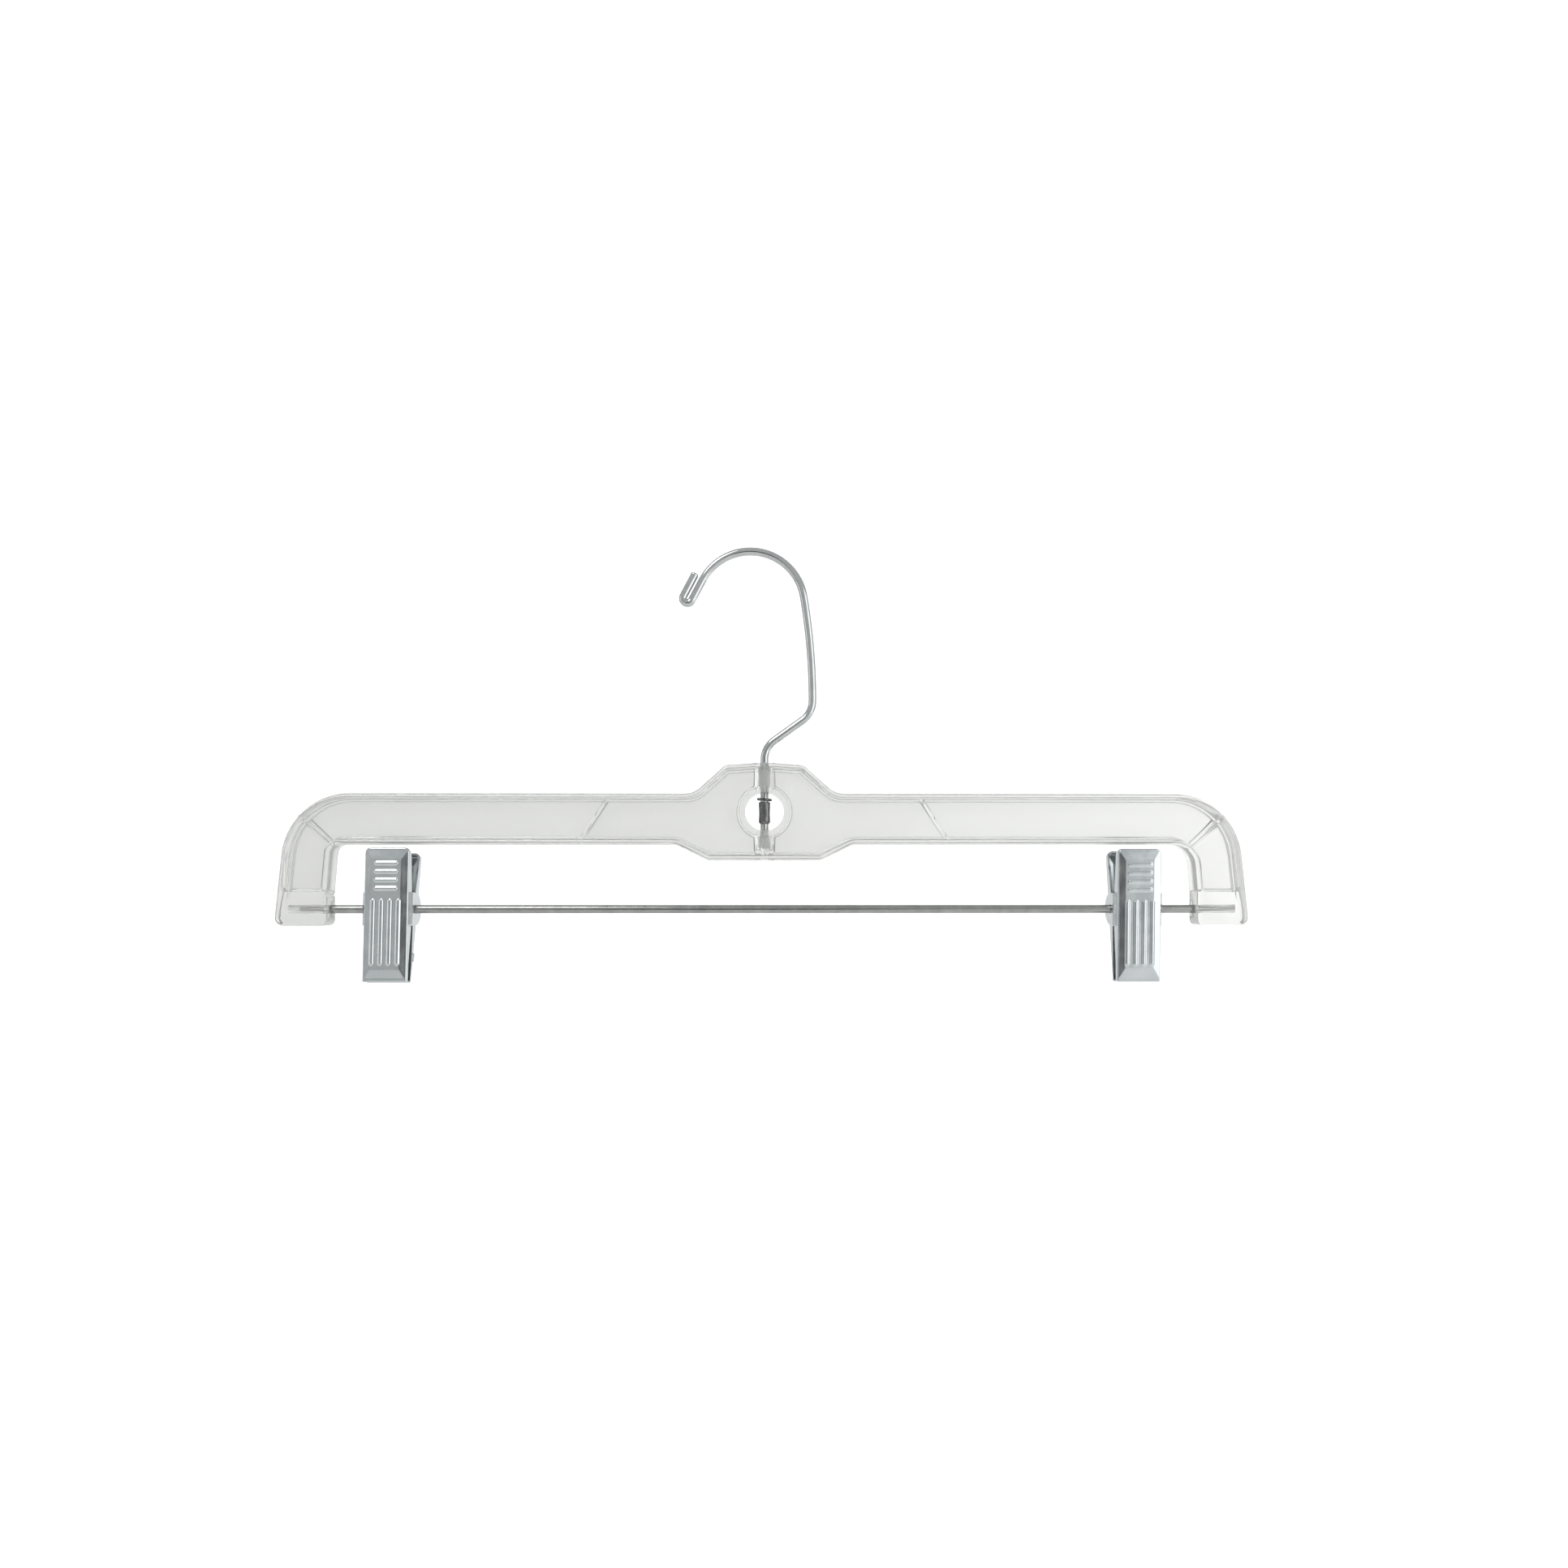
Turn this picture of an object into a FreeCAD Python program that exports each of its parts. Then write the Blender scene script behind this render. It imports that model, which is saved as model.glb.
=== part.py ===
import FreeCAD, Part
import math
import os

V = FreeCAD.Vector

# Sizes in mm. Heights are measured from the axis of the clip bar. The front of the hanger is at -Y.

# Body, moulded in clear plastic
BODY_LENGTH = 355.6
BODY_DEPTH = 9.0
ARM_UNDERSIDE = 23.6
ARM_HEIGHT = 18.8
RIM_WALL = 2.0
WEB = 2.0
POCKET_FILLET = 1.4
EDGE_ROUND = 1.2
OUTER_CORNER_R = 25.0
LEG_SPLAY = 6.0
LEG_INNER_SPLAY = 4.9
BLOCK_BOTTOM = -6.0
BLOCK_TOP = 6.4
BLOCK_WIDTH = 19.0
BLOCK_OUTER_R = 3.0
BLOCK_INNER_R = 2.0
BLOCK_TOP_R = 8.0
BLOCK_GROOVE = 1.2
INNER_CORNER_R = {-1: 3.5, 1: 8.0}

# Hub in the middle of the body
HUB_RISE = 11.4
HUB_CROWN = 1.0
HUB_DROP = 5.8
HUB_TOP_WIDTH = 28.8
HUB_SHOULDER_WIDTH = 52.0
HUB_BOTTOM_WIDTH = 41.0
HUB_UNDER_WIDTH = 65.0
HUB_CROWN_R = 60.0
HUB_TOP_CORNER_R = 3.0
HUB_SHOULDER_R = 8.0
HUB_UNDER_R = 6.0
HUB_BOTTOM_CORNER_R = {-1: 2.0, 1: 5.0}
WINDOW_R = 7.1
COLLAR_WALL = 2.2
BOSS_D = 8.0
RIB_WIDTH = 1.2
RIB_HEIGHT = 1.0
ARM_RIB_TOP_X = 57.0
ARM_RIB_FOOT_X = 68.0
CORNER_RIB_INSET = 8.0
EJECTOR_MARK_D = 5.0
EJECTOR_MARK_DEPTH = 0.35
EJECTOR_MARK_SLOPE = 0.5
END_MARK_FROM_END = 28.2
ARM_MARK_X = -52.0
HUB_MARK_X = 12.0
HUB_MARK_RISE = 8.2

# Hook, bent from one length of wire
WIRE_D = 3.0
STEM_BORE_FLOOR = 3.9
STEM_RISE = 5.7
STEM_BEND_R = 8.5
SHANK_X = 17.7
SHANK_RISE = 12.7
SHANK_BEND_R = 9.0
SHANK_R = 230.0
SHANK_SWEEP = 9.6
CROWN_R = 19.9
CROWN_END = 152.0
TIP_LEG = 8.6
FOLD_R = 1.75
FOLDED_LEG = 9.4

# Ferrule and washer on the hook's stem, and the clearances round them
FERRULE_D = 4.4
FERRULE_RISE = 3.6
FERRULE_LENGTH = 8.2
FERRULE_ROUND = 0.8
WASHER_D = 5.6
WASHER_THICKNESS = 0.8
WASHER_TILT = 4.0
WASHER_PLAY = 0.35
REST_GAP = 0.3
RUNNING_FIT = 0.08

# Bar
BAR_D = 3.175
BAR_END_COVER = 4.4
BAR_END_SPACE = 4.2

# Clips, pressed from sheet. Each jaw is drawn upright and then leaned about the bar's axis.
CLIP_FROM_BLOCK = 21.8
CLIP_TILT = {"left": -9.5, "right": -4.0}
SHEET = 0.8
JAW_WIDTH = 16.0
JAW_REACH = 6.0
JAW_LEAN = 5.7
HANDLE_CLEARANCE = 0.5
JAW_LENGTH = 26.5
SIDE_BEVEL = 2.7
TOP_BEVEL = 4.2
END_BEVEL = 4.8
BEVEL_DEPTH = 0.8
TOP_CORNER_R = 2.0
END_CORNER_R = 0.4
WALL_AT_TOP = 3.0
WALL_AT_BAR = 4.6
WALL_BELOW_BAR = 2.3
WALL_AT_END = 2.1
WALL_NARROWS = 20.0
EAR_R = 5.9
EAR_TO_PLATE = 0.8
EAR_GAP = 0.35
INNER_EAR_JOG = 0.75
EAR_JOG_RUN = 2.2
JAW_GAP = 0.3
PRESSED_RIB_R = 1.3
PRESSED_RIB_RISE = 0.5
RIB_PITCH = 3.05
RIB_COUNT = 4
CROSS_RIB_LENGTH = 9.2
CROSS_RIB_START = 5.85
LONG_RIB_START = 18.5
LONG_RIB_END = 43.1
LUG_LENGTH = 3.4
LUG_RISE = 0.6
LUG_START = 15.5
LUG_WIDTH = 1.0
LUG_FROM_FACE = 1.2

# Torsion spring on the bar inside each clip
SPRING_WIRE_D = 1.0
SPRING_PLAY = 0.35
SPRING_PITCH = 1.15
SPRING_COILS = 5
SPRING_LEG_TOP = 16.5

ARM_TOP = ARM_UNDERSIDE + ARM_HEIGHT
HALF_LENGTH = BODY_LENGTH / 2
HALF_DEPTH = BODY_DEPTH / 2
HUB_TOP = ARM_TOP + HUB_RISE
HUB_BOTTOM = ARM_UNDERSIDE - HUB_DROP
WINDOW_HEIGHT = (HUB_TOP + HUB_BOTTOM) / 2
BLOCK_INNER = HALF_LENGTH - BLOCK_WIDTH
WIRE_R = WIRE_D / 2
BAR_R = BAR_D / 2
STEM_END = HUB_BOTTOM + STEM_BORE_FLOOR + REST_GAP
STEM_TOP = HUB_TOP + STEM_RISE
SHANK_START = STEM_TOP + SHANK_RISE
FERRULE_TOP = WINDOW_HEIGHT + FERRULE_RISE
CLIP_X = BLOCK_INNER - CLIP_FROM_BLOCK
INNER_EAR_R = JAW_REACH - SHEET - EAR_TO_PLATE
EAR_JOG = SHEET + EAR_GAP

# The handles just pass under the arm when a clip swings round the bar
HANDLE_LENGTH = math.sqrt((ARM_UNDERSIDE - HANDLE_CLEARANCE) ** 2 - JAW_REACH ** 2)


def rounded_outline(corners):
    """Closed wire in the XZ plane. corners is a list of (x, z, corner radius)."""
    points = [V(x, 0, z) for x, z, radius in corners]
    edges = []
    starts = []
    ends = []
    middles = []
    for i, (x, z, radius) in enumerate(corners):
        here = points[i]
        back = (points[i - 1] - here).normalize()
        ahead = (points[(i + 1) % len(points)] - here).normalize()
        half_angle = back.getAngle(ahead) / 2
        reach = radius / math.tan(half_angle)
        starts.append(here + back * reach)
        ends.append(here + ahead * reach)
        middle = (back + ahead).normalize()
        middles.append(here + middle * (radius / math.sin(half_angle) - radius))
    for i, (x, z, radius) in enumerate(corners):
        if radius > 0:
            edges.append(Part.Arc(starts[i], middles[i], ends[i]).toShape())
        following = starts[(i + 1) % len(corners)]
        if ends[i].distanceToPoint(following) > 1e-6:
            edges.append(Part.makeLine(ends[i], following))
    return Part.Wire(edges)


def slab(wire, front, back):
    """A wire in the XZ plane made solid from Y = front to Y = back."""
    face = Part.Face(wire)
    face.translate(V(0, front, 0))
    return face.extrude(V(0, back - front, 0))


def box(x0, x1, y0, y1, z0, z1):
    return Part.makeBox(x1 - x0, y1 - y0, z1 - z0, V(x0, y0, z0))


# Body: one slab with rounded edges, pocketed from both faces to leave a rim and a middle web

def half_outline(side):
    """Corners from the hub's top edge round one arm to the hub's bottom edge."""
    splay = math.tan(math.radians(LEG_SPLAY))
    inner_splay = math.tan(math.radians(LEG_INNER_SPLAY))
    # The rounded corner takes a little off the splayed edge, so the sharp corner sits outside the length
    corner_x = HALF_LENGTH + BLOCK_OUTER_R * (splay + 1 / math.cos(math.radians(LEG_SPLAY)) - 1)
    shoulder_x = corner_x - splay * (ARM_TOP - BLOCK_BOTTOM)
    inner_x = BLOCK_INNER - inner_splay * (ARM_UNDERSIDE - BLOCK_TOP)
    corners = [
        (HUB_TOP_WIDTH / 2, HUB_TOP - HUB_CROWN, HUB_TOP_CORNER_R),
        (HUB_SHOULDER_WIDTH / 2, ARM_TOP, HUB_SHOULDER_R),
        (shoulder_x, ARM_TOP, OUTER_CORNER_R),
        (corner_x, BLOCK_BOTTOM, BLOCK_OUTER_R),
        (BLOCK_INNER, BLOCK_BOTTOM, BLOCK_INNER_R),
        (BLOCK_INNER, BLOCK_TOP, BLOCK_TOP_R),
        (inner_x, ARM_UNDERSIDE, INNER_CORNER_R[side]),
        (HUB_UNDER_WIDTH / 2, ARM_UNDERSIDE, HUB_UNDER_R),
        (HUB_BOTTOM_WIDTH / 2, HUB_BOTTOM, HUB_BOTTOM_CORNER_R[side]),
    ]
    return [(side * x, z, radius) for x, z, radius in corners]


def bar_across(x0, z0, x1, z1, width):
    """A straight strip in the XZ plane from one point to another."""
    along = (V(x1, 0, z1) - V(x0, 0, z0)).normalize()
    across = V(-along.z, 0, along.x) * (width / 2)
    start = V(x0, 0, z0)
    end = V(x1, 0, z1)
    points = [start + across, end + across, end - across, start - across, start + across]
    return Part.Face(Part.makePolygon(points))


def make_body():
    corners = [(0, HUB_TOP, HUB_CROWN_R)] + half_outline(1) + half_outline(-1)[::-1]
    outline = rounded_outline(corners)
    body = slab(outline, -HALF_DEPTH, HALF_DEPTH)
    face_edges = [edge for edge in body.Edges
                  if edge.BoundBox.YLength < 1e-6]
    body = body.makeFillet(EDGE_ROUND, face_edges)

    # The pockets follow the outline, and stop at the blocks and at the window's collar
    region = Part.Face(outline).makeOffset2D(-RIM_WALL)
    collar = Part.Face(Part.Wire(Part.makeCircle(WINDOW_R + COLLAR_WALL, V(0, 0, WINDOW_HEIGHT), V(0, 1, 0))))
    keep = []
    for side in (-1, 1):
        keep.append(bar_across(side * (BLOCK_INNER - BLOCK_WIDTH), 0, side * HALF_LENGTH, 0, BLOCK_TOP * 2))
    pocket_faces = region.cut(keep).Faces
    for face in pocket_faces:
        # Opening the corners to just over the fillet's size lets the pocket floor be filleted all round
        corner_r = POCKET_FILLET + 0.1
        soft = face.makeOffset2D(-corner_r).makeOffset2D(corner_r).cut(collar).Faces[0]
        for front, floor in ((-BODY_DEPTH, -WEB / 2), (BODY_DEPTH, WEB / 2)):
            tool = soft.copy()
            tool.translate(V(0, front, 0))
            tool = tool.extrude(V(0, floor - front, 0))
            floor_edges = [edge for edge in tool.Edges
                           if edge.BoundBox.YLength < 1e-6 and abs(edge.BoundBox.YMin - floor) < 1e-6]
            tool = tool.makeFillet(POCKET_FILLET, floor_edges)
            body = body.cut(tool)

    # Slanted stiffening ribs on the web: one across each arm and one across each outer corner
    ribs = []
    for side in (-1, 1):
        arm_rib = (ARM_RIB_TOP_X, ARM_TOP - RIM_WALL / 2, ARM_RIB_FOOT_X, ARM_UNDERSIDE + RIM_WALL / 2)
        corner_rib = (HALF_LENGTH - CORNER_RIB_INSET, ARM_TOP - CORNER_RIB_INSET,
                      BLOCK_INNER - RIM_WALL / 2, ARM_UNDERSIDE)
        for x0, z0, x1, z1 in (arm_rib, corner_rib):
            strip = bar_across(side * x0, z0, side * x1, z1, RIB_WIDTH)
            strip.translate(V(0, -WEB / 2 - RIB_HEIGHT, 0))
            ribs.append(strip.extrude(V(0, WEB + 2 * RIB_HEIGHT, 0)))
    body = body.fuse(ribs)

    # Round boss for the hook's stem, the window through it, and the two bores
    boss = Part.makeCylinder(BOSS_D / 2, HUB_TOP - HUB_BOTTOM - 2 * RIM_WALL, V(0, 0, HUB_BOTTOM + RIM_WALL))
    body = body.fuse(boss)
    body = body.cut(Part.makeCylinder(WINDOW_R, 2 * BODY_DEPTH, V(0, -BODY_DEPTH, WINDOW_HEIGHT), V(0, 1, 0)))
    bore_floor = V(0, 0, HUB_BOTTOM + STEM_BORE_FLOOR)
    body = body.cut(Part.makeCylinder(WIRE_R + RUNNING_FIT, HUB_TOP, bore_floor))

    # Blind bores for the bar, the small groove above the left block, and the moulding's marks
    for side in (-1, 1):
        bore = Part.makeCylinder(BAR_R, HALF_LENGTH - BAR_END_COVER, V(0, 0, 0), V(side, 0, 0))
        body = body.cut(bore)
    groove = Part.makeBox(BLOCK_GROOVE, 3 * BODY_DEPTH, BLOCK_GROOVE,
                          V(-BLOCK_GROOVE / 2, -1.5 * BODY_DEPTH, -BLOCK_GROOVE / 2))
    groove.rotate(V(0, 0, 0), V(0, 1, 0), 45)
    groove.translate(V(-BLOCK_INNER, 0, BLOCK_TOP - BLOCK_GROOVE))
    body = body.cut(groove)
    arm_middle = (ARM_TOP + ARM_UNDERSIDE) / 2
    for x, z in ((END_MARK_FROM_END - HALF_LENGTH, arm_middle), (ARM_MARK_X, arm_middle),
                 (HUB_MARK_X, WINDOW_HEIGHT + HUB_MARK_RISE)):
        floor_r = EJECTOR_MARK_D / 2 - EJECTOR_MARK_SLOPE
        mark = Part.makeCone(EJECTOR_MARK_D / 2, floor_r, EJECTOR_MARK_DEPTH, V(x, -WEB / 2, z), V(0, 1, 0))
        body = body.cut(mark)
    return body.removeSplitter()


# Hook: one wire path of straight lengths and tangent bends, swept with a round section

def along(point, heading, length):
    angle = math.radians(heading)
    return point + V(math.cos(angle), 0, math.sin(angle)) * length


def bend(start, heading, radius, turn):
    """Arc from start, going along heading degrees in the XZ plane and turning left for a positive turn."""
    side = 1 if turn > 0 else -1
    centre = along(start, heading + 90 * side, radius)
    middle = along(centre, heading - 90 * side + turn / 2, radius)
    end = along(centre, heading - 90 * side + turn, radius)
    return Part.Arc(start, middle, end).toShape(), end


def make_hook():
    slope = math.degrees(math.atan2(SHANK_START - STEM_TOP, SHANK_X))
    turn = 90 - slope
    lower_reach = STEM_BEND_R * math.tan(math.radians(turn / 2))
    upper_reach = SHANK_BEND_R * math.tan(math.radians(turn / 2))
    edges = []
    point = V(0, 0, STEM_END)
    stem_top = V(0, 0, STEM_TOP - lower_reach)
    edges.append(Part.makeLine(point, stem_top))
    arc, point = bend(stem_top, 90, STEM_BEND_R, -turn)
    edges.append(arc)
    corner = V(SHANK_X, 0, SHANK_START)
    before_shank = along(corner, slope, -upper_reach)
    edges.append(Part.makeLine(point, before_shank))
    arc, point = bend(before_shank, slope, SHANK_BEND_R, turn)
    edges.append(arc)
    arc, point = bend(point, 90, SHANK_R, SHANK_SWEEP)
    edges.append(arc)
    heading = 90 + SHANK_SWEEP
    crown_turn = CROWN_END - SHANK_SWEEP
    crown_centre = along(point, heading + 90, CROWN_R)
    arc, point = bend(point, heading, CROWN_R, crown_turn)
    edges.append(arc)
    heading = heading + crown_turn
    after = along(point, heading, TIP_LEG)
    edges.append(Part.makeLine(point, after))
    arc, point = bend(after, heading, FOLD_R, -180)
    edges.append(arc)
    edges.append(Part.makeLine(point, along(point, heading + 180, FOLDED_LEG)))
    path = Part.Wire(edges)
    section = Part.Wire(Part.makeCircle(WIRE_R, V(0, 0, STEM_END), V(0, 0, 1)))
    hook = path.makePipeShell([section], True, False)
    return hook, crown_centre


def make_ferrule():
    """Sleeve crimped on the stem, closed in round at its lower end."""
    bottom = FERRULE_TOP - FERRULE_LENGTH
    ferrule = Part.makeCylinder(FERRULE_D / 2, FERRULE_LENGTH, V(0, 0, bottom))
    lower = [edge for edge in ferrule.Edges
             if edge.BoundBox.ZLength < 1e-6 and abs(edge.BoundBox.ZMin - bottom) < 1e-6]
    ferrule = ferrule.makeFillet(FERRULE_ROUND * (FERRULE_D - WIRE_D) / 2, lower)
    return ferrule.cut(Part.makeCylinder(WIRE_R, FERRULE_LENGTH, V(0, 0, bottom)))


def make_washer():
    """Loose washer just above the ferrule, sitting slightly askew."""
    washer = Part.makeCylinder(WASHER_D / 2, WASHER_THICKNESS, V(0, 0, -WASHER_THICKNESS / 2))
    hole = Part.makeCylinder(WIRE_R + WASHER_PLAY, 2 * WASHER_THICKNESS, V(0, 0, -WASHER_THICKNESS))
    washer = washer.cut(hole)
    washer.rotate(V(0, 0, 0), V(0, 1, 0), WASHER_TILT)
    drop = washer.BoundBox.ZMin
    washer.translate(V(0, 0, FERRULE_TOP + REST_GAP - drop))
    return washer


def make_bar():
    # The bar stands against the right bore's end, and the left bore is a little longer than it needs
    reach = HALF_LENGTH - BAR_END_COVER
    length = 2 * reach - BAR_END_SPACE
    return Part.makeCylinder(BAR_R, length, V(reach - length, 0, 0), V(1, 0, 0))


# Clips: each jaw is a pressed pan with side walls and two ears over the bar

def pan_block(half_width, reach, top, bottom, corner_r):
    """Solid block behind a face that slopes away at all four edges, its face at Y = -reach."""
    low = BEVEL_DEPTH - reach
    plan = [V(-half_width, 0, 0), V(-half_width, low, 0), V(SIDE_BEVEL - half_width, -reach, 0),
            V(half_width - SIDE_BEVEL, -reach, 0), V(half_width, low, 0), V(half_width, 0, 0)]
    prism = Part.Face(Part.makePolygon(plan + [plan[0]])).extrude(V(0, 0, top - bottom))
    prism.translate(V(0, 0, bottom))
    profile = [V(0, 0, bottom), V(0, low, bottom), V(0, -reach, bottom + END_BEVEL),
               V(0, -reach, top - TOP_BEVEL), V(0, low, top), V(0, 0, top)]
    side = Part.Face(Part.makePolygon(profile + [profile[0]])).extrude(V(2 * half_width, 0, 0))
    side.translate(V(-half_width, 0, 0))
    front = [(-half_width, bottom, END_CORNER_R), (half_width, bottom, END_CORNER_R),
             (half_width, top, corner_r), (-half_width, top, corner_r)]
    return prism.common(side).common(slab(rounded_outline(front), -reach, 0))


def wall_outline():
    """Closed outline of a side wall seen from the side, without its ear."""
    points = [(0, HANDLE_LENGTH), (WALL_AT_TOP, HANDLE_LENGTH),
              (WALL_AT_BAR, EAR_R), (WALL_AT_BAR, -EAR_R), (WALL_BELOW_BAR, -WALL_NARROWS),
              (WALL_AT_END, -JAW_LENGTH), (0, -JAW_LENGTH), (0, HANDLE_LENGTH)]
    return Part.makePolygon([V(0, depth - JAW_REACH, z) for depth, z in points])


def pressed_rib(start, end):
    """Half-round rib pushed out of the face, rounded at both ends: the outer form and its hollow."""
    forms = []
    for radius in (PRESSED_RIB_R, PRESSED_RIB_R - SHEET):
        form = Part.makeCylinder(radius, (end - start).Length, start, end - start)
        form = form.fuse([Part.makeSphere(radius, start), Part.makeSphere(radius, end)])
        forms.append(form)
    return forms


def make_jaw(outer_ear):
    half = JAW_WIDTH / 2
    inner_half = half - SHEET
    outer = pan_block(half, JAW_REACH, HANDLE_LENGTH, -JAW_LENGTH, TOP_CORNER_R)
    inner = pan_block(inner_half, JAW_REACH - SHEET, HANDLE_LENGTH - SHEET, SHEET - JAW_LENGTH,
                      TOP_CORNER_R - SHEET)
    shell = outer.cut(inner)

    # Trim the side walls, the turned-over top edge and the gripping lip to their own depths
    walls = Part.Face(wall_outline()).extrude(V(JAW_WIDTH, 0, 0))
    walls.translate(V(-half, 0, 0))
    lip_y = -JAW_LENGTH * math.tan(math.radians(JAW_LEAN)) - JAW_GAP / 2
    lip = box(-half, half, -JAW_REACH, lip_y, -JAW_LENGTH, SHEET - JAW_LENGTH)
    shell = shell.common(walls.fuse(lip))

    # Clear the side walls round the other jaw's ear, then add this jaw's own ears
    if outer_ear:
        cutter = Part.makeCylinder(INNER_EAR_R + EAR_GAP, 2 * JAW_WIDTH, V(-JAW_WIDTH, 0, 0), V(1, 0, 0))
        behind_face = box(-JAW_WIDTH, JAW_WIDTH, SHEET - JAW_REACH, JAW_REACH, -EAR_R, EAR_R)
        shell = shell.cut(cutter.common(behind_face))
    radius = EAR_R if outer_ear else INNER_EAR_R
    jog = EAR_JOG if outer_ear else -INNER_EAR_JOG
    jog_start = -JAW_REACH + SHEET
    jog_end = jog_start + EAR_JOG_RUN
    strip = [V(inner_half, BEVEL_DEPTH - JAW_REACH, 0), V(inner_half, jog_start, 0),
             V(inner_half + jog, jog_end, 0), V(inner_half + jog, EAR_R, 0),
             V(half + jog, EAR_R, 0), V(half + jog, jog_end, 0), V(half, jog_start, 0),
             V(half, BEVEL_DEPTH - JAW_REACH, 0)]
    for side in (-1, 1):
        mirrored = [V(side * p.x, p.y, 0) for p in strip]
        sheet = Part.Face(Part.makePolygon(mirrored + [mirrored[0]])).extrude(V(0, 0, 2 * radius))
        sheet.translate(V(0, 0, -radius))
        disc = Part.makeCylinder(radius, 2 * JAW_WIDTH, V(-JAW_WIDTH, 0, 0), V(1, 0, 0))
        disc = disc.fuse(box(-JAW_WIDTH, JAW_WIDTH, -JAW_REACH, 0, -radius, radius))
        shell = shell.fuse(sheet.common(disc))
    hole = Part.makeCylinder(BAR_R + RUNNING_FIT, 2 * JAW_WIDTH, V(-JAW_WIDTH, 0, 0), V(1, 0, 0))
    shell = shell.cut(hole)

    # Pressed ribs: a row across the handle and a row along the jaw
    depth = PRESSED_RIB_R - PRESSED_RIB_RISE - JAW_REACH
    raised = []
    hollow = []
    for i in range(RIB_COUNT):
        z = HANDLE_LENGTH - CROSS_RIB_START - i * RIB_PITCH
        reach = CROSS_RIB_LENGTH / 2 - PRESSED_RIB_R
        form, groove = pressed_rib(V(-reach, depth, z), V(reach, depth, z))
        raised.append(form)
        hollow.append(groove)
        x = (i - (RIB_COUNT - 1) / 2) * RIB_PITCH
        top = HANDLE_LENGTH - LONG_RIB_START - PRESSED_RIB_R
        bottom = HANDLE_LENGTH - LONG_RIB_END + PRESSED_RIB_R
        form, groove = pressed_rib(V(x, depth, top), V(x, depth, bottom))
        raised.append(form)
        hollow.append(groove)
    front_only = box(-half, half, -JAW_REACH - PRESSED_RIB_RISE, SHEET - JAW_REACH - 0.01,
                     -JAW_LENGTH, HANDLE_LENGTH)
    raised = [form.common(front_only) for form in raised]
    return shell.fuse(raised).cut(hollow).removeSplitter()


def make_front_jaw():
    jaw = make_jaw(True)
    jaw.rotate(V(0, 0, 0), V(1, 0, 0), JAW_LEAN)
    return jaw


def make_back_jaw():
    jaw = make_jaw(False)
    lug_y = LUG_FROM_FACE - JAW_REACH
    lug = box(-JAW_WIDTH / 2 - LUG_RISE, -JAW_WIDTH / 2 + SHEET / 2, lug_y, lug_y + LUG_WIDTH,
              -LUG_START - LUG_LENGTH, -LUG_START)
    jaw = jaw.fuse(lug)
    jaw.rotate(V(0, 0, 0), V(1, 0, 0), JAW_LEAN)
    jaw.rotate(V(0, 0, 0), V(0, 0, 1), 180)
    return jaw


def make_spring():
    """Coil round the bar, its two ends running up as straight legs behind the handles."""
    wire_r = SPRING_WIRE_D / 2
    radius = BAR_R + SPRING_PLAY + wire_r
    lean = math.radians(JAW_LEAN)
    handle_y = (JAW_REACH - SHEET) / math.cos(lean) + SPRING_LEG_TOP * math.tan(lean)
    leg_top = (handle_y - wire_r - REST_GAP, SPRING_LEG_TOP)

    # Each leg leaves the coil where a line from its top just touches the coil
    reach = math.hypot(leg_top[0], leg_top[1])
    leg_foot = math.atan2(leg_top[1], leg_top[0]) - math.acos(radius / reach)
    first = math.pi - leg_foot
    last = 2 * math.pi * SPRING_COILS + leg_foot
    half_width = SPRING_PITCH * (last - first) / (4 * math.pi)
    steps = 12 * SPRING_COILS
    coil = []
    for i in range(steps + 1):
        angle = first + (last - first) * i / steps
        x = half_width * (2 * i / steps - 1)
        coil.append(V(x, radius * math.cos(angle), radius * math.sin(angle)))
    front_top = V(-half_width, -leg_top[0], leg_top[1])
    back_top = V(half_width, leg_top[0], leg_top[1])
    front_leg = [front_top + (coil[0] - front_top) * (i / 6) for i in range(6)]
    back_leg = [coil[-1] + (back_top - coil[-1]) * (i / 6) for i in range(1, 7)]
    path = Part.BSplineCurve()
    path.interpolate(front_leg + coil + back_leg)
    section = Part.Wire(Part.makeCircle(wire_r, front_top, path.tangent(path.FirstParameter)[0]))
    return Part.Wire(path.toShape()).makePipeShell([section], True, False)


def export(name, shape, seat_height):
    shape = shape.copy()
    shape.translate(V(0, 0, -seat_height))
    if shape.ShapeType == "Compound" and len(shape.Solids) == 1:
        shape = shape.Solids[0]
    print(name, shape.ShapeType, len(shape.Solids), shape.isValid(), round(shape.Volume, 1))
    shape.exportStep("parts/" + name + ".step")


os.makedirs("parts", exist_ok=True)
hook, crown_centre = make_hook()

# The origin is on the swivel axis, where a rail touches the inside of the hook's crown
seat = crown_centre.z + math.sqrt((CROWN_R - WIRE_R) ** 2 - crown_centre.x ** 2)

export("swivel_hook", hook, seat)
export("hook_ferrule", make_ferrule(), seat)
export("swivel_washer", make_washer(), seat)
export("hanger_body", make_body(), seat)
export("clip_bar", make_bar(), seat)

front_jaw = make_front_jaw()
back_jaw = make_back_jaw()
spring = make_spring()
for name, side in (("left", -1), ("right", 1)):
    for piece, shape in (("front_jaw", front_jaw), ("back_jaw", back_jaw), ("spring", spring)):
        placed = shape.copy()
        placed.rotate(V(0, 0, 0), V(1, 0, 0), CLIP_TILT[name])
        placed.translate(V(side * CLIP_X, 0, 0))
        export(name + "_" + piece, placed, seat)
print("seat height", seat)
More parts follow.
